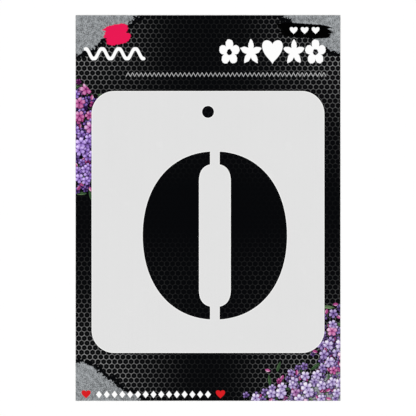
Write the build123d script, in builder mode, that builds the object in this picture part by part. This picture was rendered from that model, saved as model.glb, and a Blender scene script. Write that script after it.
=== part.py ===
from build123d import *
import os

# A carded lettering stencil. A thin plastic sheet, cut through with the figure 0 and punched with a hang
# hole, lies loose on a printed backing card.
# Millimetres. The origin is the centre of the card's underside: +X runs across the card, +Y towards its top
# edge, and +Z out of its printed face.

# Backing card
card_width = 115.6
card_height = 168.4
card_thickness = 0.4

# Stencil sheet, 4 by 4.5 inches
sheet_width = 101.6
sheet_height = 114.3
sheet_thickness = 0.3
sheet_corner_radius = 9.9
rim_radius = 0.05  # melted round where the cutting beam enters, on the upper face
sheet_drop = 6.1  # the sheet's centre lies this far below the card's centre
seat_gap = 0.05  # air film under the sheet, which nothing presses flat

# Hang hole, on the sheet's centre line
hang_hole_diameter = 5.2
hang_hole_inset = 9.1  # from the sheet's top edge to the hole's centre

# Figure 0: an outer bowl, a narrow counter inside it, and a bridge that keeps the counter's island in place
figure_width = 63.0
figure_height = 73.4
figure_shift = 3.0  # right of the sheet's centre
figure_drop = 5.9  # below the sheet's centre
bowl_handle_share = 0.6  # fullness of the bowl's shoulders, as a share of their reach
counter_width = 13.9
counter_height = 62.4
counter_end_height = 7.6  # where the counter's straight sides start to turn in
counter_handle_share = 0.67
bridge_width = 4.2

cut_overrun = 1.0  # how far a cutting shape reaches past what it cuts

# Planes that the pieces are drawn on
seat_height = card_thickness + seat_gap
sheet_plane = Plane(origin=(0, -sheet_drop, seat_height))
figure_plane = Plane(origin=(figure_shift, -sheet_drop - figure_drop, seat_height))
hole_plane = Plane(origin=(0, -sheet_drop + sheet_height / 2 - hang_hole_inset, seat_height + sheet_thickness))


def oval_loop(width, height, end_height, handle_share):
    """Lines of an upright oval. Each quarter is one curve that leaves the straight side end_height below the
    oval's top and arrives level at the top, with both handles handle_share of the way along their tangents."""
    side, top = width / 2, height / 2
    shoulder = top - end_height
    with BuildLine() as loop:
        if shoulder > 0:
            Line((side, 0), (side, shoulder))
        Bezier(
            (side, shoulder),
            (side, shoulder + handle_share * end_height),
            (handle_share * side, top),
            (0, top),
        )
        mirror(about=Plane.YZ)
        mirror(about=Plane.XZ)
    return loop.line


# Backing card: one ply of board, cut square
with BuildPart() as backing_card:
    with BuildSketch():
        Rectangle(card_width, card_height)
    extrude(amount=card_thickness)
backing_card.part.label = "backing_card"

# Figure: the bowl less its counter, split in two by the bridge
bowl_outline = oval_loop(figure_width, figure_height, figure_height / 2, bowl_handle_share)
counter_outline = oval_loop(counter_width, counter_height, counter_end_height, counter_handle_share)
with BuildSketch(figure_plane) as figure:
    make_face(bowl_outline.edges())
    make_face(counter_outline.edges(), mode=Mode.SUBTRACT)
    Rectangle(bridge_width, figure_height + cut_overrun, mode=Mode.SUBTRACT)

# Stencil sheet: rounded blank, hang hole, the two halves of the figure cut through, every upper rim rounded
with BuildPart() as stencil_sheet:
    with BuildSketch(sheet_plane):
        RectangleRounded(sheet_width, sheet_height, sheet_corner_radius)
    extrude(amount=sheet_thickness)
    with Locations(hole_plane):
        Hole(hang_hole_diameter / 2)
    extrude(figure.sketch, amount=sheet_thickness, mode=Mode.SUBTRACT)
    fillet(stencil_sheet.faces().sort_by(Axis.Z)[-1].edges(), radius=rim_radius)
stencil_sheet.part.label = "stencil_sheet"

os.makedirs("parts", exist_ok=True)
for piece in (backing_card, stencil_sheet):
    export_step(piece.part, f"parts/{piece.part.label}.step")
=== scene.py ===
import functools
import inspect
import math

import bpy
from bpy.props import FloatProperty, FloatVectorProperty, PointerProperty
from bpy.types import Operator, Panel, PropertyGroup
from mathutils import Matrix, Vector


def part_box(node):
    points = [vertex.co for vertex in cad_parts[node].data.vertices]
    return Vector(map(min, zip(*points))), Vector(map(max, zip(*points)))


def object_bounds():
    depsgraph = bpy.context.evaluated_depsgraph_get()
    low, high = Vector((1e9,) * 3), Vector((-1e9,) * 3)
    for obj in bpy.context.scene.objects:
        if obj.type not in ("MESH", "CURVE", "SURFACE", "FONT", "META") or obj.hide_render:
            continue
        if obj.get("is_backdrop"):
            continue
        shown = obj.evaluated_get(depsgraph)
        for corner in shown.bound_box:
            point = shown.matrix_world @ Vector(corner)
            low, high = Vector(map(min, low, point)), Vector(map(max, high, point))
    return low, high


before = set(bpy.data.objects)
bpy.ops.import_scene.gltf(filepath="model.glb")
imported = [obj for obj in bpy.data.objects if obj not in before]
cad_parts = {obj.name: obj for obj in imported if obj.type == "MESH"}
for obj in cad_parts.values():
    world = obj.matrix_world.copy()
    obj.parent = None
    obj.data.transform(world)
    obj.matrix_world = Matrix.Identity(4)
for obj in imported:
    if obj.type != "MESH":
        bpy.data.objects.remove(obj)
cad_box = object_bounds()

bl_info = {
    "name": "Carded lettering stencil",
    "version": (1, 0, 0),
    "blender": (4, 5, 0),
    "location": "3D View > Sidebar > Stencil",
    "description": "Prints the backing card, finishes the cut film and sets the floor, lamps and camera",
    "category": "Object",
}

WHITE = (1.0, 1.0, 1.0)
BLACK = (0.0, 0.0, 0.0)

# Patterns are worked out in millimetres from the card's centre, and everything else in metres
MM = 1000.0
card_low, card_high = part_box("backing_card")
CARD_HALF_WIDTH = (card_high.x - card_low.x) / 2 * MM
CARD_HALF_HEIGHT = (card_high.y - card_low.y) / 2 * MM
PRINTED_FACE = card_high.z


def on_card(across_share, up_share):
    """A place or a reach on the print, from shares of the card's half width and half height."""
    return across_share * CARD_HALF_WIDTH, up_share * CARD_HALF_HEIGHT


# How far the rim of a printed shape fades each way, in millimetres, or as a share of a header shape's size
INK_EDGE = 0.08
HEADER_EDGE = 0.02

# The honeycomb is a little squat: what multiplies its places across and up, and its shift in millimetres
MESH_STRETCH = (1.0, 1.0263)
MESH_SHIFT = (-0.2, -2.07)

# How brightly its walls, the ridges along them and its hollows shine
WALL_SHINE, RIDGE_SHINE, HOLLOW_SHINE = 0.12, 0.88, 0.05

# Corner paint: widths of its grain and its blotches in millimetres, and its darkest and palest shades
PAINT_GRAIN, PAINT_BLOTCH = 0.42, 1.6
PAINT_SHADES = (0.36, 1.8)

# Torn corners, as shares of the card's halves: which corner, and how far the paint reaches from it
TORN_CORNER_SHARES = (
    ((-1, 1), (0.46, 0.2)),
    ((1, 1), (0.45, 0.2)),
    ((-1, -1), (0.47, 0.205)),
    ((1, -1), (0.4, 0.16)),
)

# Sprays of flowers, in the same shares: middle, reach and turn of each oval that they fill
SPRAY_SHARES = (
    ((-1.0, 0.3), (0.3, 0.3), 0.0),
    ((-0.98, 0.52), (0.2, 0.16), 0.3),
    ((0.84, -0.98), (0.6, 0.17), 0.12),
    ((1.0, -0.75), (0.24, 0.28), -0.2),
)

# Layers of the sprays. The spacing is a share of the blossoms' own, a length or width is a share of the
# spacing, the density adds to the chance that a spot has grown, and the shift picks which of the endless
# scattered spots lie in the sprays.
LEAVES = dict(spacing_share=1.2, shift=(3.0, 40.0), density=0.2, length=0.56, plumpness=0.22)
BUDS = dict(spacing_share=0.9, shift=(61.0, 23.0), density=0.1, length=0.3, plumpness=0.55)
DEEP_BLOSSOMS = dict(spacing_share=0.8, shift=(17.0, 5.0), density=0.1, width=0.46, brightness=-0.3)
MIDDLE_BLOSSOMS = dict(spacing_share=1.0, shift=(140.0, 70.0), density=0.0, width=0.46, brightness=-0.05)
PALE_BLOSSOMS = dict(spacing_share=1.15, shift=(260.0, 190.0), density=-0.2, width=0.45, brightness=0.12)

# How much likelier a spot is to have grown for each reach inside a spray, and how dark the halos are
CROWDING = 1.8
LEAF_HALO, BLOSSOM_HALO = 0.7, 0.8

# Darkest and palest tones of what grows, on each side of the colours that a user sets
LEAF_SHADOW, LEAF_LIGHT = (0.004, 0.012, 0.006), (0.3, 0.42, 0.22)
BUD_SHADOW, BUD_LIGHT = (0.1, 0.004, 0.05), (0.92, 0.62, 0.78)
PINK_SHADOW, PINK_PALE, PINK_LIGHT = (0.08, 0.004, 0.05), (0.7, 0.33, 0.57), (0.92, 0.74, 0.86)
PETAL_TIP = (0.93, 0.88, 0.97)

# What the violet petals are multiplied by away from the card's foot, and how much darker all petals are there
# and, on top of that, near the card's top
UPPER_TINT = (1.08, 0.94, 1.22)
UPPER_SHADE, TOP_SHADE = 0.13, 0.1

# Motifs that lie over the print, in millimetres, with their turns in radians
DAB = dict(middle=on_card(-0.69, 0.9), half_size=(5.2, 5.0), turn=-0.2)
WAVE = dict(middle=on_card(-0.706, 0.8), half_length=12.7, height=2.1, wavelength=7.25, thickness=1.5)
STROKE = dict(middle=on_card(0.73, 0.92), half_size=(11.6, 3.5), turn=0.06)
STROKE_HEART = dict(half_width=1.7)
STROKE_HEART_PITCH = 4.8
HEADER_MIDDLE = on_card(0.487, 0.808)
HEADER_PITCH = 9.4
HEADER_FLOWER = dict(half_size=(4.6, 5.6))
HEADER_STAR = dict(half_size=(4.9, 5.8))
HEADER_HEART = dict(half_width=4.5, height_share=1.15)
FINE_ROW = dict(middle=on_card(0.136, 0.692), count=46.0, pitch=1.9, height=0.8, thickness=0.27)
FINE_ROW_STRENGTH = 0.48
BOLD_ROW = dict(middle=on_card(-0.412, -0.967), count=15.0, pitch=3.4, half_size=(1.3, 1.6))
RED_HEART = dict(half_width=2.0)
RED_HEART_MIDDLES = (on_card(-0.921, -0.967), on_card(0.094, -0.967))

# Bare board: width of its fibres in millimetres, its palest and darkest shades, and the tone of its flecks
BOARD_FIBRE = 0.2
BOARD_SHADES = (1.0, 0.8)
FLECK = (0.42, 0.36, 0.27)

# Gloss and relief. A relief's distance is the height of the grain in metres.
BOARD_ROUGHNESS, PRINT_ROUGHNESS = 0.86, 0.58
CARD_SPECULAR = 0.008
CARD_RELIEF = dict(distance=0.00002, strength=0.35)
FILM_ROUGHNESS, BEAD_POLISH = 0.42, 0.2
FILM_SPECULAR = 0.25
FILM_RELIEF = dict(distance=0.00001, strength=0.3)

# Film: its darkest and palest shades, and how many drawn lines it has to a millimetre, across and along
FILM_SHADES = (0.985, 1.015)
DRAWN_LINES = (1.6, 0.012)

# The floor's colour and its faint glow where it is looked at, and its roughness
SEEN_FLOOR = (0.98, 0.98, 0.98)
FLOOR_GLOW = 0.04
FLOOR_ROUGHNESS = 0.9

# Lamps: how wide each looks from the object, how far it leans from upright and its heading, in degrees
LAMP_WIDTH = 35.0
KEY_LEAN, KEY_HEADING = 38.0, -40.0
FILL_LEAN, FILL_HEADING = 35.0, 135.0


# Fields: numbers, places and colours that change over a surface


class Field:
    """A node's output. Arithmetic on it adds the nodes that work it out."""

    def __init__(self, socket):
        self.socket = socket
        self.tree = socket.id_data

    def __add__(self, other):
        return work_out("ADD", self, other)

    def __radd__(self, other):
        return work_out("ADD", other, self)

    def __sub__(self, other):
        return work_out("SUBTRACT", self, other)

    def __rsub__(self, other):
        return work_out("SUBTRACT", other, self)

    def __mul__(self, other):
        return work_out("MULTIPLY", self, other)

    def __truediv__(self, other):
        return work_out("DIVIDE", self, other)

    def __rtruediv__(self, other):
        return work_out("DIVIDE", other, self)

    def __pow__(self, other):
        return work_out("POWER", self, other)

    def __neg__(self):
        return work_out("MULTIPLY", self, -1.0)

    def __abs__(self):
        return work_out("ABSOLUTE", self)

    @functools.cached_property
    def parts(self):
        """The three numbers of a place or colour."""
        return [Field(out) for out in add_node(self.tree, "ShaderNodeSeparateXYZ", self).outputs]

    @property
    def x(self):
        return self.parts[0]

    @property
    def y(self):
        return self.parts[1]

    @property
    def z(self):
        return self.parts[2]

    def length(self):
        return work_out("LENGTH", self)

    def turned(self, angle):
        """The place, turned about the Z axis."""
        node = add_node(self.tree, "ShaderNodeVectorRotate", rotation_type="Z_AXIS")
        feed_named(node, {"Vector": self, "Angle": angle})
        return Field(node.outputs["Vector"])


def three_numbers(value):
    """A place's three numbers. Two numbers leave it at height 0, and a lone one stands for all three."""
    numbers = tuple(value) if has_parts(value) else (value,) * 3
    return (*numbers, 0.0)[:3]


def feed(socket, value):
    """Links a field to an input, or sets the input to a number, a place or a colour."""
    if isinstance(value, Field):
        socket.id_data.links.new(value.socket, socket)
    elif socket.type == "VECTOR":
        socket.default_value = three_numbers(value)
    elif socket.type == "RGBA":
        socket.default_value = (*value, 1.0)
    else:
        socket.default_value = value


def feed_named(node, values):
    """Feeds a node's inputs by their names."""
    for name, value in values.items():
        feed(node.inputs[name], value)


def add_node(tree, kind, *inputs, **settings):
    """A new node with its settings, and its first inputs fed in order."""
    node = tree.nodes.new(kind)
    for name, value in settings.items():
        setattr(node, name, value)
    for socket, value in zip(node.inputs, inputs):
        feed(socket, value)
    return node


def has_parts(value):
    """True for a place or a colour, be it a field or given as numbers."""
    return value.socket.type != "VALUE" if isinstance(value, Field) else hasattr(value, "__len__")


def work_out(operation, *values):
    """One operation of a Math node, or of a Vector Math node where a value is a place or a colour."""
    tree = next(value.tree for value in values if isinstance(value, Field))
    if not any(has_parts(value) for value in values):
        return Field(add_node(tree, "ShaderNodeMath", *values, operation=operation).outputs[0])
    node = add_node(tree, "ShaderNodeVectorMath", *values, operation=operation)
    return Field(node.outputs["Value" if operation == "LENGTH" else "Vector"])


def smooth(value, start, end):
    """0 at start and beyond, 1 at end and beyond, with a smooth step between."""
    node = add_node(value.tree, "ShaderNodeMapRange", value, start, end, interpolation_type="SMOOTHSTEP")
    return Field(node.outputs["Result"])


def choose(mask, off, on):
    """off where the mask is 0, and on where it is 1. Each is a place or a colour."""
    kind = "Vector" if isinstance(off, Field) and off.socket.type == "VECTOR" else "Color"
    node = add_node(mask.tree, "ShaderNodeMix", mask, data_type={"Vector": "VECTOR", "Color": "RGBA"}[kind])
    sockets = {socket.identifier: socket for socket in (*node.inputs, *node.outputs)}
    feed(sockets[f"A_{kind}"], off)
    feed(sockets[f"B_{kind}"], on)
    return Field(sockets[f"Result_{kind}"])


def between(mask, off, on):
    """A number that is off where the mask is 0, and on where it is 1."""
    return off + mask * (on - off)


def noise(place, detail=2.0, roughness=0.5):
    """Cloudy noise from 0 to 1 over the flat, whose features are about one unit wide."""
    node = add_node(place.tree, "ShaderNodeTexNoise", noise_dimensions="2D")
    feed_named(node, {"Vector": place, "Scale": 1.0, "Detail": detail, "Roughness": roughness})
    return Field(node.outputs[0])


def waver(place, amount, detail=2.0, roughness=0.5):
    """Cloudy noise that strays from 0 by up to half the amount each way."""
    return (noise(place, detail, roughness) - 0.5) * amount


def ramp(value, places, colours):
    """A colour for each value, which passes through the given colours at the given places."""
    node = add_node(value.tree, "ShaderNodeValToRGB", value)
    elements = node.color_ramp.elements
    while len(elements) < len(places):
        elements.new(0.5)
    for element, position, colour in zip(elements, places, colours):
        element.position = position
        element.color = (*colour, 1.0)
    return Field(node.outputs["Color"])


def shader_group(*outputs):
    """Turns a function of fields into a node group that is built once.

    The function's arguments are the group's inputs, and outputs names what it returns. A call places the
    group in the tree of its first argument."""

    def wrap(function):
        title = function.__name__.replace("_", " ").capitalize()
        arguments = inspect.signature(function).parameters

        def build():
            tree = bpy.data.node_groups.new(title, "ShaderNodeTree")
            for name, argument in arguments.items():
                label, value = name.replace("_", " ").capitalize(), argument.default
                kind, value = ("Vector", three_numbers(value)) if has_parts(value) else ("Float", value)
                socket = tree.interface.new_socket(label, in_out="INPUT", socket_type=f"NodeSocket{kind}")
                socket.default_value = value
            given = [Field(out) for out in tree.nodes.new("NodeGroupInput").outputs[:-1]]
            made = function(*given)
            made = made if isinstance(made, tuple) else (made,)
            for label, field in zip(outputs, made, strict=True):
                kind = {"VECTOR": "Vector", "RGBA": "Color", "VALUE": "Float"}[field.socket.type]
                tree.interface.new_socket(label, in_out="OUTPUT", socket_type=f"NodeSocket{kind}")
            last = tree.nodes.new("NodeGroupOutput")
            for socket, field in zip(last.inputs, made):
                feed(socket, field)
            return tree

        @functools.wraps(function)
        def place_group(first, *others, **named):
            node = first.tree.nodes.new("ShaderNodeGroup")
            node.node_tree = bpy.data.node_groups.get(title) or build()
            given = dict(zip(arguments, (first, *others))) | named
            for name, value in given.items():
                feed(node.inputs[list(arguments).index(name)], value)
            found = [Field(out) for out in node.outputs]
            return found if len(found) > 1 else found[0]

        return place_group

    return wrap


# Effects that the materials share


@shader_group("Grain", "Clouds")
def grain(place=(0, 0), size=0.3):
    """Fine speckle and slow clouds, both from 0 to 1: a noise as wide as the grain, and one sixty times as
    wide."""
    fine = place / size
    return noise(fine, detail=3.0, roughness=0.7), noise(fine / 60.0, detail=3.0)


@shader_group("Mark")
def scuffs(place=(0, 0), size=14.0, width=0.006):
    """Sparse hairline marks: the lines along which a slow noise passes its middle value, kept where a second
    noise is high."""
    wandering = noise(place / size, detail=1.0) - 0.5
    kept = smooth(noise(place / size * 2.3 + (11.0, 5.0), detail=1.0), 0.5, 0.66)
    return smooth(abs(wandering), width, width / 3.0) * kept


# Shapes that the card is printed with


@shader_group("Wall", "Ridge", "Hollow")
def honeycomb(place=(0, 0), pitch=2.4, wall_share=0.18):
    """Walls of a honeycomb of upright cells, the ridge along their middle where they catch the light, and a
    glint in each cell's middle.

    The place is wrapped into two rectangular grids, a pitch wide and root three pitches high, half a cell
    apart. The offset from the nearer cell's middle, measured across its flats, is a half at the wall. Some of
    the plain distance is mixed in, which rounds the cells and thickens the ridge where three walls meet. A
    noise breaks the ridge up."""
    rounding, glint_width, dullest_glint = 0.4, 1.1, 0.4
    half = (0.5, math.sqrt(3.0) / 2)
    behind = (-half[0], -half[1])
    scaled = place / pitch
    even = work_out("WRAP", scaled, half, behind)
    odd = work_out("WRAP", scaled + half, half, behind)
    offset = choose(work_out("LESS_THAN", even.length(), odd.length()), odd, even)
    sideways, upright = abs(offset.x), abs(offset.y)
    across_flats = work_out("MAXIMUM", sideways, sideways / 2.0 + upright * half[1])
    rounded = across_flats * (1.0 - rounding) + offset.length() * rounding
    depth = (0.5 - rounded) / wall_share
    glints = between(smooth(noise(place / glint_width, detail=1.0), 0.34, 0.66), dullest_glint, 1.0)
    return smooth(depth, 0.6, 0.4), smooth(depth, 0.36, 0.0) * glints, smooth(offset.length(), 0.2, 0.0)


@shader_group("Light")
def corner_light(place=(0, 0), half_size=(50, 80), bands=0.07, sides=0.018):
    """Light that gathers in the card's four corners: a smooth step across, which draws in towards the sides
    in the upper half, times a smooth step up. Under it lie two fainter ones: one in bands above and below the
    card's level middle line, and one that grows as the square of the way to the sides."""
    share = abs(place / half_size)
    drawn_in = smooth((place / half_size).y, 0.0, 0.4) * 0.12
    gathered = smooth(share.x - drawn_in, 0.1, 1.04) * smooth(share.y, 0.36, 0.9)
    banded = smooth(share.y, 0.08, 0.4) * (share.x + 0.33) * bands
    return gathered + banded + share.x * share.x * sides


@shader_group("Paint", "Rim")
def torn_corner(place=(0, 0), corner=(0, 0), reach=(25, 16)):
    """Paint that fills a corner of the card out to a torn line, and a darker rim round it.

    The distance from the corner, in reaches along each side, is 1 at the line, which a slow noise bends and a
    quick one frays. Its roundness is a power: 1 would cut the corner straight, and 2 round."""
    roundness, bend_width, brush_width = 1.2, 8.0, 1.3
    away = abs((place - corner) / reach)
    distance = (away.x ** roundness + away.y ** roundness) ** (1 / roundness)
    bent = distance + waver(place / bend_width, amount=0.3, detail=1.0)
    frayed = bent + waver(place, amount=0.26, roughness=0.6)
    brushed = bent + waver(place / brush_width + (31.0, 17.0), amount=0.36)
    return smooth(frayed, 1.0, 0.985), smooth(brushed, 1.14, 1.11)


@shader_group("Offset", "Middle", "Chance", "Turn", "Tone")
def scatter(place=(0, 0), spacing=5.0, shift=(0, 0)):
    """Loose spots, one to a spacing: the offset from the nearest spot in spacings, the spot's own place, and
    three random numbers that belong to it."""
    moved = (place + shift) / spacing
    node = add_node(place.tree, "ShaderNodeTexVoronoi", voronoi_dimensions="2D")
    feed_named(node, {"Vector": moved, "Scale": 1.0, "Randomness": 0.8})
    spot = Field(node.outputs["Position"])
    chances = Field(node.outputs["Color"])
    return moved - spot, spot * spacing - shift, chances.x, chances.y, chances.z


@shader_group("Cover", "Halo", "Light", "Eye")
def blossom(offset=(0, 0), width=0.5, turn=0.0, petals=5.0):
    """A flower seen from above.

    Its rim is a rounded cosine of the angle, with one lobe for each petal and a shallow notch at its tip. The
    petals are darker at the throat, along the rim and in the clefts between them, and lighter towards their
    tips and the upper left."""
    waist, streaks_to_a_petal = 0.36, 3.0
    angle = work_out("ARCTAN2", offset.y, offset.x) + turn * math.tau
    lobe = abs(work_out("COSINE", angle * petals / 2.0))
    notch = lobe ** 18.0 * 0.1
    rim = width * (between(lobe ** 0.6, waist, 1.0) - notch)
    out = offset.length() / rim
    upper_left = (offset.y * 0.8 - offset.x * 0.6) / width
    streaks = work_out("SINE", angle * petals * streaks_to_a_petal) * 0.07
    cleft_shade, rim_shade = (1.0 - lobe) ** 1.5 * 0.45, smooth(out, 0.72, 1.0) * 0.34
    light = 0.3 + out * 0.55 + upper_left * 0.2 + streaks * out - cleft_shade - rim_shade
    return smooth(out, 1.0, 0.94), smooth(out, 1.45, 0.9), light, smooth(out, 0.2, 0.1)


@shader_group("Cover", "Halo", "Light")
def leaf(offset=(0, 0), length=0.6, plumpness=0.34, turn=0.0):
    """A pointed leaf or bud: its half width is a parabola of the way along it, with a rib down the middle and
    slanting veins."""
    lying = offset.turned(turn * math.tau) / length
    along, aside = lying.x, abs(lying.y)
    vein_slant, vein_crowding = 1.4, 26.0
    inside = plumpness * (1.0 - along * along) - aside
    veins = work_out("SINE", (along - aside * vein_slant) * vein_crowding) * 0.08
    light = 0.35 + aside / plumpness * 0.35 + lying.y * 0.5 + veins
    return smooth(inside, 0.0, 0.03), smooth(inside, -0.14, 0.02), light


@shader_group("Cover")
def swash(place=(0, 0), middle=(0, 0), half_size=(10, 3), turn=0.0):
    """One stroke of a wide dry brush: a box whose ends run out in bristle marks, which are noise stretched
    along the stroke, and whose sides are a little ragged and draw in towards the ends."""
    # How many bristles and rags there are to a half size, along and across, and where it starts to draw in
    bristle_count, rag_count, full_width_end = (0.5, 4.5), (7.0, 3.0), 0.6
    local = (place - middle).turned(turn) / half_size
    along, aside = abs(local.x), abs(local.y)
    bristles = waver(local * bristle_count + middle, amount=0.9, detail=3.0, roughness=0.6)
    rags = waver(local * rag_count + middle, amount=0.22)
    drawn_in = work_out("MAXIMUM", along - full_width_end, 0.0) * 0.5
    return smooth(along + bristles, 1.0, 0.94) * smooth(aside + rags + drawn_in, 0.9, 0.84)


@shader_group("Cover")
def heart(place=(0, 0), middle=(0, 0), half_width=2.0, height_share=0.9):
    """A heart: a circle whose height at each point is lifted by a power of the distance from its upright
    axis."""
    local = (place - middle) / half_width
    aside = abs(local.x)
    lifted = local.y * 1.2 / height_share + 0.22 - aside ** 0.6 * 0.85
    edge = INK_EDGE / half_width
    return smooth(aside * aside + lifted * lifted - 1.0, edge, -edge)


def worn_rim(place):
    """A little noise that wears the rims of the header's larger shapes."""
    wear_width = 0.9
    return waver(place / wear_width, amount=0.14)


@shader_group("Cover")
def star(place=(0, 0), middle=(0, 0), half_size=(4, 4), corners=5.0, point=0.62):
    """A star with a corner at its top. From each corner to halfway between it and the next, its rim draws in
    by up to the point."""
    local = (place - middle) / half_size
    halfway = math.pi / corners
    from_corner = abs(work_out("WRAP", work_out("ARCTAN2", local.x, local.y), halfway, -halfway))
    past_rim = local.length() - 1.0 + from_corner / halfway * point + worn_rim(place)
    return smooth(past_rim, HEADER_EDGE, -HEADER_EDGE)


@shader_group("Cover")
def rosette(place=(0, 0), middle=(0, 0), half_size=(4, 4), petals=5.0, eye=0.24):
    """A flower's outline, with a petal at its top and a round hole for its eye."""
    local = (place - middle) / half_size
    lobe = abs(work_out("COSINE", work_out("ARCTAN2", local.x, local.y) * petals / 2.0))
    out = local.length() + worn_rim(place)
    within_rim = smooth(out - 0.5 - lobe ** 0.6 * 0.5, HEADER_EDGE, -HEADER_EDGE)
    return within_rim * smooth(out - eye, -HEADER_EDGE, HEADER_EDGE)


@shader_group("Cover")
def wavy_line(place=(0, 0), middle=(0, 0), half_length=10.0, height=2.0, wavelength=6.0, thickness=1.0):
    """A round-ended line that follows a sine. The distance to it is the rise over the root of one plus the
    slope's square."""
    local = place - middle
    along = work_out("MINIMUM", work_out("MAXIMUM", local.x, -half_length), half_length)
    phase = along / wavelength * math.tau
    rise = local.y - work_out("SINE", phase) * height
    slope = work_out("COSINE", phase) * height / wavelength * math.tau
    past_end = local.x - along
    away = (rise * rise / (1.0 + slope * slope) + past_end * past_end) ** 0.5
    return smooth(away - thickness / 2.0, INK_EDGE, -INK_EDGE)


def within_row(local, count, pitch):
    """1 over the length of a row, and 0 past its ends."""
    return smooth(abs(local.x) - count * pitch / 2.0, INK_EDGE, -INK_EDGE)


@shader_group("Cover")
def zigzag(place=(0, 0), middle=(0, 0), count=40.0, pitch=2.0, height=0.7, thickness=0.3):
    """A fine zigzag stitch: the height of a triangle wave, and the distance to it across its slope."""
    local = place - middle
    wrapped = work_out("WRAP", local.x, pitch / 2.0, pitch / -2.0)
    steepness = height / pitch * 4.0
    rise = local.y - (abs(wrapped) * steepness - height)
    away = abs(rise) / (1.0 + steepness * steepness) ** 0.5
    return smooth(away - thickness / 2.0, INK_EDGE, -INK_EDGE) * within_row(local, count, pitch)


@shader_group("Cover")
def lozenges(place=(0, 0), middle=(0, 0), count=15.0, pitch=3.0, half_size=(1, 1.3)):
    """A row of an odd number of lozenges, one to a pitch."""
    local = place - middle
    wrapped = work_out("WRAP", local.x, pitch / 2.0, pitch / -2.0)
    share = abs(wrapped / half_size).x + abs(local / half_size).y
    return smooth(share, 1.08, 0.92) * within_row(local, count, pitch)


# Sizes and colours that a user would change


def colour_property(name, description, default):
    return FloatVectorProperty(
        name=name, description=description, default=default, min=0.0, max=1.0, size=3, subtype="COLOR"
    )


def length_property(name, description, default):
    return FloatProperty(name=name, description=description, default=default, min=0.0, unit="LENGTH")


def strength_property(name, description, default):
    return FloatProperty(name=name, description=description, default=default, min=0.0)


class CardSettings(PropertyGroup):
    ink: colour_property("Ink", "Black of the print", (0.0015, 0.00172, 0.00226))
    mesh: colour_property("Honeycomb", "Grey of the brightest ridges, in the corners", (0.4, 0.4, 0.4))
    paint: colour_property("Corner paint", "Grey of the torn corners", (0.247, 0.26, 0.27))
    petal_shadow: colour_property("Petal shadow", "Darkest tone of the petals", (0.016, 0.005, 0.04))
    petal: colour_property("Petal", "Middle tone of the petals", (0.23, 0.14, 0.41))
    petal_light: colour_property("Petal light", "Pale tone of the petals", (0.58, 0.49, 0.75))
    bud: colour_property("Bud", "Pink of the buds and of some blossoms", (0.46, 0.07, 0.27))
    leaf: colour_property("Leaf", "Green of the leaves", (0.05, 0.11, 0.045))
    dab: colour_property("Dab", "Pink of the brush dab", (0.83, 0.01, 0.088))
    heart: colour_property("Heart", "Red of the hearts", (0.69, 0.0135, 0.0175))
    board: colour_property("Board", "White of the bare board", (0.78, 0.77, 0.74))
    honeycomb_pitch: length_property("Honeycomb pitch", "Distance between cells in a row", 0.00241)
    blossom_spacing: length_property("Blossom spacing", "Distance between blossoms in a spray", 0.0046)


class FilmSettings(PropertyGroup):
    film: colour_property("Film", "Grey of the film", (0.76, 0.76, 0.76))
    # Paler tone along each cut: a painted rim highlight, not a colour of the film itself
    melted_rim: colour_property("Melted rim", "Tone of the bead along each cut", (0.95, 0.95, 0.94))
    bead_width: length_property("Bead width", "Width of the melted bead along each cut", 0.0006)
    grain_size: length_property("Grain", "Width of the satin grain", 0.00025)


class StageSettings(PropertyGroup):
    floor: colour_property("Floor", "Pale floor", (0.8, 0.8, 0.8))
    floor_width: length_property("Floor width", "Side of the square floor", 6.0)
    view_width: length_property("View width", "Width that the picture shows at the print", 0.18167)
    lens: FloatProperty(name="Lens", description="Focal length in millimetres", default=85.0, unit="CAMERA")
    key: strength_property("Key lamp", "Strength of the brighter lamp", 1.15)
    fill: strength_property("Fill lamp", "Strength of the weaker lamp", 0.75)
    sky: strength_property("Sky", "Strength of the even light all round", 0.5)


# Materials


def new_material(name):
    """A material with a bare Principled shader, and its node tree."""
    material = bpy.data.materials.new(name)
    material.use_nodes = True
    return material, material.node_tree, material.node_tree.nodes["Principled BSDF"]


def node_output(tree, kind, name):
    """One output of a node that has no inputs to feed."""
    return Field(add_node(tree, kind).outputs[name])


def flat_place(tree):
    """The place on a piece in millimetres, seen from straight above and in the piece's own axes."""
    return node_output(tree, "ShaderNodeTexCoord", "Object") * (MM, MM, 0.0)


def bump(height, distance, strength):
    """The surface's normal, tilted by a height from 0 to 1 that stands for that distance."""
    node = add_node(height.tree, "ShaderNodeBump")
    feed_named(node, {"Strength": strength, "Distance": distance, "Height": height})
    return Field(node.outputs["Normal"])


def shades(colour, *shares):
    """Darker and lighter shades of a colour, one for each share of it."""
    return [tuple(part * share for part in colour) for share in shares]


def print_mesh(place, card):
    """Ink with a squat honeycomb on it that comes up out of the dark towards the corners."""
    wall, ridge, hollow = honeycomb(place * MESH_STRETCH + MESH_SHIFT, pitch=card.honeycomb_pitch * MM)
    shine = wall * WALL_SHINE + ridge * RIDGE_SHINE + hollow * HOLLOW_SHINE
    return choose(shine * corner_light(place, half_size=on_card(1, 1)), card.ink, card.mesh)


def paint_corners(place, under, card):
    """Grainy grey paint in the corners, torn off along a dark rim."""
    speckle, clouds = grain(place, size=PAINT_GRAIN)
    light = speckle * 0.65 + noise(place / PAINT_BLOTCH) * 0.25 + clouds * 0.1
    paint = choose(smooth(light, 0.36, 0.64), *shades(card.paint, *PAINT_SHADES))
    for corner_share, reach_share in TORN_CORNER_SHARES:
        cover, rim = torn_corner(place, corner=on_card(*corner_share), reach=on_card(*reach_share))
        under = choose(cover, choose(rim, under, card.ink), paint)
    return under


@shader_group("Inside")
def sprays(place=(0, 0)):
    """How far inside a spray a place is: 1 in the middle, and 0 from its rim out."""
    inside = None
    for middle_share, reach_share, turn in SPRAY_SHARES:
        local = (place - on_card(*middle_share)).turned(turn) / on_card(*reach_share)
        depth = 1.0 - local.length()
        inside = depth if inside is None else work_out("MAXIMUM", inside, depth)
    return inside


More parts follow.
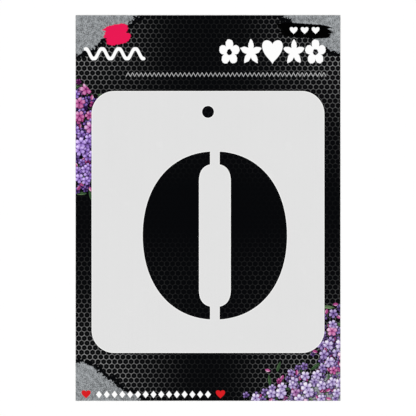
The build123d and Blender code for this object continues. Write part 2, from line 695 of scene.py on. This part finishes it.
def grown_spots(place, card, spacing_share, shift, density):
    """Scattered spots, and which of them have grown: the more likely, the deeper inside a spray."""
    spacing = card.blossom_spacing * MM * spacing_share
    offset, middle, chance, turn, tone = scatter(place, spacing=spacing, shift=shift)
    grown = work_out("GREATER_THAN", sprays(middle) * CROWDING + density, chance)
    return offset, middle, turn, tone, grown


def grow_leaves(place, under, card, tones, length, plumpness, **where):
    """One layer of leaves or buds, each with a dark halo round it."""
    offset, _, turn, tone, grown = grown_spots(place, card, **where)
    cover, halo, light = leaf(offset, length=length, plumpness=plumpness, turn=turn)
    shaded = ramp(light + tone * 0.3 - 0.1, places=(0.0, 0.55, 1.0), colours=tones)
    return choose(cover * grown, choose(halo * grown * LEAF_HALO, under, card.ink), shaded)


def grow_blossoms(place, under, card, width, brightness, **where):
    """One layer of blossoms, each of its own tint and with a dark halo round it. Above the card's foot they
    are darker and bluer, and near its top they are darkest and more of them are pink."""
    offset, middle, turn, tone, grown = grown_spots(place, card, **where)
    cover, halo, light, eye = blossom(offset, width=between(tone, 0.8, 1.2) * width, turn=turn)
    height_share = middle.y / CARD_HALF_HEIGHT
    above_foot, near_top = smooth(height_share, -1.0, -0.4), smooth(height_share, 0.3, 0.55)
    light = light + brightness + tone * 0.12 - above_foot * UPPER_SHADE - near_top * TOP_SHADE
    violets = (card.petal_shadow, card.petal, card.petal_light, PETAL_TIP)
    pinks = (PINK_SHADOW, card.bud, PINK_PALE, PINK_LIGHT)
    violet, pink = (ramp(light, places=(0.0, 0.4, 0.74, 1.0), colours=tones) for tones in (violets, pinks))
    violet = violet * choose(smooth(height_share, -0.5, 0.1), WHITE, UPPER_TINT)
    petals = choose(smooth(turn + near_top * 0.5, 0.9, 0.95), violet, pink)
    flower = choose(eye * 0.9, petals, card.petal_shadow)
    return choose(cover * grown, choose(halo * grown * BLOSSOM_HALO, under, card.ink), flower)


def grow_sprays(place, under, card):
    """Leaves, buds and three layers of blossoms, the palest on top."""
    under = grow_leaves(place, under, card, (LEAF_SHADOW, card.leaf, LEAF_LIGHT), **LEAVES)
    under = grow_blossoms(place, under, card, **DEEP_BLOSSOMS)
    under = grow_leaves(place, under, card, (BUD_SHADOW, card.bud, BUD_LIGHT), **BUDS)
    under = grow_blossoms(place, under, card, **MIDDLE_BLOSSOMS)
    return grow_blossoms(place, under, card, **PALE_BLOSSOMS)


def row(middle, count, pitch):
    """The middles of a level row of motifs."""
    across, up = middle
    return [(across + (step - (count - 1) / 2) * pitch, up) for step in range(count)]


def print_motifs(place, under, card):
    """The brush marks, rows and shapes that lie on top of the print."""
    first, second, third, fourth, fifth = row(HEADER_MIDDLE, 5, HEADER_PITCH)
    whites = [
        wavy_line(place, **WAVE),
        *(rosette(place, middle=spot, **HEADER_FLOWER) for spot in (first, fifth)),
        *(star(place, middle=spot, **HEADER_STAR) for spot in (second, fourth)),
        heart(place, middle=third, **HEADER_HEART),
        *(heart(place, middle=spot, **STROKE_HEART) for spot in row(STROKE["middle"], 3, STROKE_HEART_PITCH)),
        zigzag(place, **FINE_ROW) * FINE_ROW_STRENGTH,
        lozenges(place, **BOLD_ROW),
    ]
    under = choose(swash(place, **DAB), under, card.dab)
    under = choose(swash(place, **STROKE), under, BLACK)
    for cover in whites:
        under = choose(cover, under, WHITE)
    for middle in RED_HEART_MIDDLES:
        under = choose(heart(place, middle=middle, **RED_HEART), under, card.heart)
    return under


def bare_board(place, card):
    """Unprinted board: matted fibres that lie along the card's height, with clouds and a few darker
    flecks."""
    fibres, clouds = grain(place * (1.0, 0.3), size=BOARD_FIBRE)
    flecks = smooth(noise(place * (0.9, 0.5) + (7.0, 3.0), detail=1.0), 0.74, 0.8)
    mottled = smooth(fibres, 0.3, 0.75) * 0.55 + smooth(clouds, 0.35, 0.65) * 0.35
    return choose(flecks * 0.5, choose(mottled, *shades(card.board, *BOARD_SHADES)), FLECK)


def printed_card_material(card):
    """Board printed on its upper face, and bare on its back and its cut edges."""
    material, tree, shader = new_material("printed_card")
    place = flat_place(tree)
    printed = print_mesh(place, card)
    for lay_over in (paint_corners, grow_sprays, print_motifs):
        printed = lay_over(place, printed, card)
    face = smooth(node_output(tree, "ShaderNodeTexCoord", "Normal").z, 0.5, 0.8)
    fibres, _ = grain(place * (1.0, 0.45), size=0.16)
    rubbed = scuffs(place, size=19.0)
    matt = between(face, BOARD_ROUGHNESS, PRINT_ROUGHNESS)
    feed_named(shader, {
        "Base Color": choose(face, bare_board(place, card), printed),
        "Roughness": matt + (fibres - 0.5) * 0.1 + rubbed * 0.12,
        "Normal": bump(fibres, **CARD_RELIEF),
        "Specular IOR Level": CARD_SPECULAR,
    })
    return material


def cut_film_material(film):
    """Satin film with faint lines along the way that it was drawn, a few scuffs, and a glossier band along
    every cut, where the beam melted it, with a painted highlight that makes the band paler.

    The band is where a normal that is rounded over its width leans away from the true one."""
    material, tree, shader = new_material("sheet_plastic")
    place = flat_place(tree)
    speckle, clouds = grain(place, size=film.grain_size * MM)
    drawn = noise(place * DRAWN_LINES)
    marks = scuffs(place)
    bevel = add_node(tree, "ShaderNodeBevel", samples=8)
    feed(bevel.inputs["Radius"], film.bead_width)
    true_normal = node_output(tree, "ShaderNodeNewGeometry", "Normal")
    # Band along each cut: glossier where the beam melted the film, and paler from a painted highlight
    bead = smooth((Field(bevel.outputs["Normal"]) - true_normal).length(), 0.0, 0.12)
    tone = choose(clouds * 0.5 + drawn * 0.5 + marks * 0.5, *shades(film.film, *FILM_SHADES))
    satin = FILM_ROUGHNESS + (speckle - 0.5) * 0.16 + (drawn - 0.5) * 0.12 + marks * 0.14
    feed_named(shader, {
        "Base Color": choose(bead, tone, film.melted_rim),
        "Roughness": satin - bead * BEAD_POLISH,
        "Normal": bump(speckle, **FILM_RELIEF),
        "Specular IOR Level": FILM_SPECULAR,
    })
    return material


def seen_directly(tree):
    """1 where the camera, a reflection or a transmitted ray looks, and 0 for light that falls on the
    object."""
    path = add_node(tree, "ShaderNodeLightPath")
    looks = [Field(path.outputs[name]) for name in ("Is Camera Ray", "Is Glossy Ray", "Is Transmission Ray")]
    return work_out("MAXIMUM", work_out("MAXIMUM", looks[0], looks[1]), looks[2])


def floor_material(stage):
    """Matt floor that looks white where it is lit, and keeps the object's shadow."""
    material, tree, shader = new_material("floor")
    looks = seen_directly(tree)
    feed_named(shader, {
        "Base Color": choose(looks, stage.floor, SEEN_FLOOR),
        "Roughness": FLOOR_ROUGHNESS,
        "Specular IOR Level": 0.0,
        "Emission Color": WHITE,
        "Emission Strength": looks * FLOOR_GLOW,
    })
    return material


# Operators


def dress(node, material):
    """Gives a CAD node its material."""
    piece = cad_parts[node]
    for slot in piece.material_slots:
        slot.material = material


class STENCIL_OT_print_card(Operator):
    """Print the backing card's upper face and leave its back bare"""

    bl_idname = "stencil.print_card"
    bl_label = "Print the backing card"

    def execute(self, context):
        dress("backing_card", printed_card_material(context.scene.stencil_card))
        return {"FINISHED"}


class STENCIL_OT_finish_film(Operator):
    """Give the stencil sheet its satin film and melted rims, glossier and painted paler as a highlight"""

    bl_idname = "stencil.finish_film"
    bl_label = "Finish the stencil sheet"

    def execute(self, context):
        dress("stencil_sheet", cut_film_material(context.scene.stencil_film))
        return {"FINISHED"}


class STENCIL_OT_set_stage(Operator):
    """Lay the floor and place the lamps, the sky and the camera"""

    bl_idname = "stencil.set_stage"
    bl_label = "Set the stage"

    def execute(self, context):
        stage = context.scene.stencil_stage
        lay_floor(stage)
        hang_lamps(stage)
        light_sky(context.scene, stage)
        place_camera(context.scene, stage)
        return {"FINISHED"}


def link_new(name, data):
    """A new object with that data, in the scene."""
    made = bpy.data.objects.new(name, data)
    bpy.context.scene.collection.objects.link(made)
    return made


def lay_floor(stage):
    """A square at the height of the card's underside."""
    reach = stage.floor_width / 2
    corners = [(x * reach, y * reach, cad_box[0].z) for x, y in ((-1, -1), (1, -1), (1, 1), (-1, 1))]
    mesh = bpy.data.meshes.new("floor")
    mesh.from_pydata(corners, [], [(0, 1, 2, 3)])
    mesh.materials.append(floor_material(stage))
    link_new("floor", mesh)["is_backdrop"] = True


def hang_lamps(stage):
    """Two wide soft lamps that lean from upright, each to its own side."""
    for name, strength, lean, heading in (
        ("key_lamp", stage.key, KEY_LEAN, KEY_HEADING),
        ("fill_lamp", stage.fill, FILL_LEAN, FILL_HEADING),
    ):
        lamp = bpy.data.lights.new(name, "SUN")
        lamp.energy = strength
        lamp.angle = math.radians(LAMP_WIDTH)
        link_new(name, lamp).rotation_euler = (math.radians(lean), 0.0, math.radians(heading))


def light_sky(scene, stage):
    """An even sky that looks white and lights the object more gently than it looks."""
    world = bpy.data.worlds.new("sky")
    world.use_nodes = True
    scene.world = world
    strength = between(seen_directly(world.node_tree), stage.sky, 1.0)
    feed_named(world.node_tree.nodes["Background"], {"Color": WHITE, "Strength": strength})


def place_camera(scene, stage):
    """A camera straight above the card's centre, at the height where its view has the stated width."""
    data = bpy.data.cameras.new("camera")
    data.lens = stage.lens
    height = stage.view_width * data.lens / data.sensor_width
    camera = link_new("camera", data)
    camera.location = (0.0, 0.0, PRINTED_FACE + height)
    scene.camera = camera


class STENCIL_PT_sidebar(Panel):
    """Lists the steps and the settings that each one reads"""

    bl_label = "Carded stencil"
    bl_space_type = "VIEW_3D"
    bl_region_type = "UI"
    bl_category = "Stencil"

    def draw(self, context):
        for settings, operator in (
            (context.scene.stencil_card, STENCIL_OT_print_card),
            (context.scene.stencil_film, STENCIL_OT_finish_film),
            (context.scene.stencil_stage, STENCIL_OT_set_stage),
        ):
            box = self.layout.box()
            for name in settings.bl_rna.properties.keys():
                if name not in {"rna_type", "name"}:
                    box.prop(settings, name)
            box.operator(operator.bl_idname)


CLASSES = (
    CardSettings,
    FilmSettings,
    StageSettings,
    STENCIL_OT_print_card,
    STENCIL_OT_finish_film,
    STENCIL_OT_set_stage,
    STENCIL_PT_sidebar,
)


def register():
    for cls in CLASSES:
        bpy.utils.register_class(cls)
    bpy.types.Scene.stencil_card = PointerProperty(type=CardSettings)
    bpy.types.Scene.stencil_film = PointerProperty(type=FilmSettings)
    bpy.types.Scene.stencil_stage = PointerProperty(type=StageSettings)


def unregister():
    del bpy.types.Scene.stencil_stage
    del bpy.types.Scene.stencil_film
    del bpy.types.Scene.stencil_card
    for cls in reversed(CLASSES):
        bpy.utils.unregister_class(cls)


def main():
    register()
    bpy.ops.stencil.print_card()
    bpy.ops.stencil.finish_film()
    bpy.ops.stencil.set_stage()
    bpy.context.scene.view_settings.view_transform = "Standard"
    boxes = {"cad": cad_box, "visual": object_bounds()}


if __name__ == "__main__":
    main()
